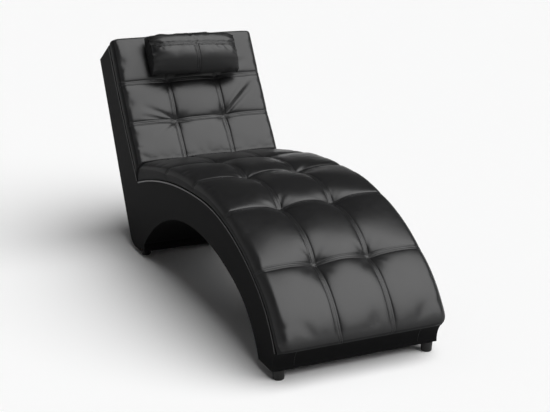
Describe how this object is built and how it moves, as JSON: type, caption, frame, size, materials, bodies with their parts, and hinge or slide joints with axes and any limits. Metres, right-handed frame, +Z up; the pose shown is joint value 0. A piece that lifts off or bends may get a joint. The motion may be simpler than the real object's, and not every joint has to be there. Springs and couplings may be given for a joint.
{
  "type": "chaise longue",
  "caption": "Arched leather chaise longue with a tufted seat and raked back, a lift-off headrest pillow and short round feet.",
  "frame": {"origin": "middle of the footprint, on the floor", "axes": "+Z up, +Y toward the head end, +X across to the sitter's left as seen lying down face up"},
  "size_m": [0.516, 1.5673, 0.7354],
  "materials": {
    "cushion_leather": "semi-gloss black, fine grain, double stitched",
    "panel_leather": "satin black, fine grain",
    "piping_leather": "semi-gloss black edge bead",
    "plywood": "raw sanded plywood",
    "hardboard": "raw hardboard",
    "foam": "open-cell foam",
    "fibre_filling": "fibre filling",
    "underlay": "black non-woven",
    "foot_plastic": "matte black",
    "steel": "zinc plated"
  },
  "bodies": {
    "frame": {"base_front_board": "plywood", "base_rear_board": "plywood", "seat_rails": "plywood", "arch_rails": "plywood", "seat_deck": "plywood", "arch_lining": "panel_leather", "front_skirt": "panel_leather", "leg_underlays": "underlay", "seat_foam": "foam", "seat_cover": "cushion_leather", "back_front_board": "plywood", "back_top_rail": "plywood", "back_middle_rail": "plywood", "back_heel_rail": "plywood", "back_panel": "plywood", "back_hardboard": "hardboard", "back_rear_cover": "panel_leather", "back_foam": "foam", "back_cover": "cushion_leather", "foot_screws": "steel", "joining_bolts": "steel", "joining_washers": "steel", "joining_nuts": "steel", "base_side_board_left": "plywood", "base_side_cover_left": "panel_leather", "seat_piping_left": "piping_leather", "back_side_board_left": "plywood", "back_side_cover_left": "panel_leather", "back_piping_left": "piping_leather", "foot_front_left": "foot_plastic", "foot_rear_left": "foot_plastic", "base_side_board_right": "plywood", "base_side_cover_right": "panel_leather", "seat_piping_right": "piping_leather", "back_side_board_right": "plywood", "back_side_cover_right": "panel_leather", "back_piping_right": "piping_leather", "foot_front_right": "foot_plastic", "foot_rear_right": "foot_plastic"},
    "headrest": {"headrest_cover": "cushion_leather", "headrest_filling": "fibre_filling", "headrest_flap": "panel_leather", "headrest_counterweight": "steel"}
  },
  "joints": [
    {"name": "headrest_lift", "type": "slide", "parent": "frame", "child": "headrest", "axis": [0, 0.4753, 0.8798], "range_m": [0, 0.24]}
  ]
}
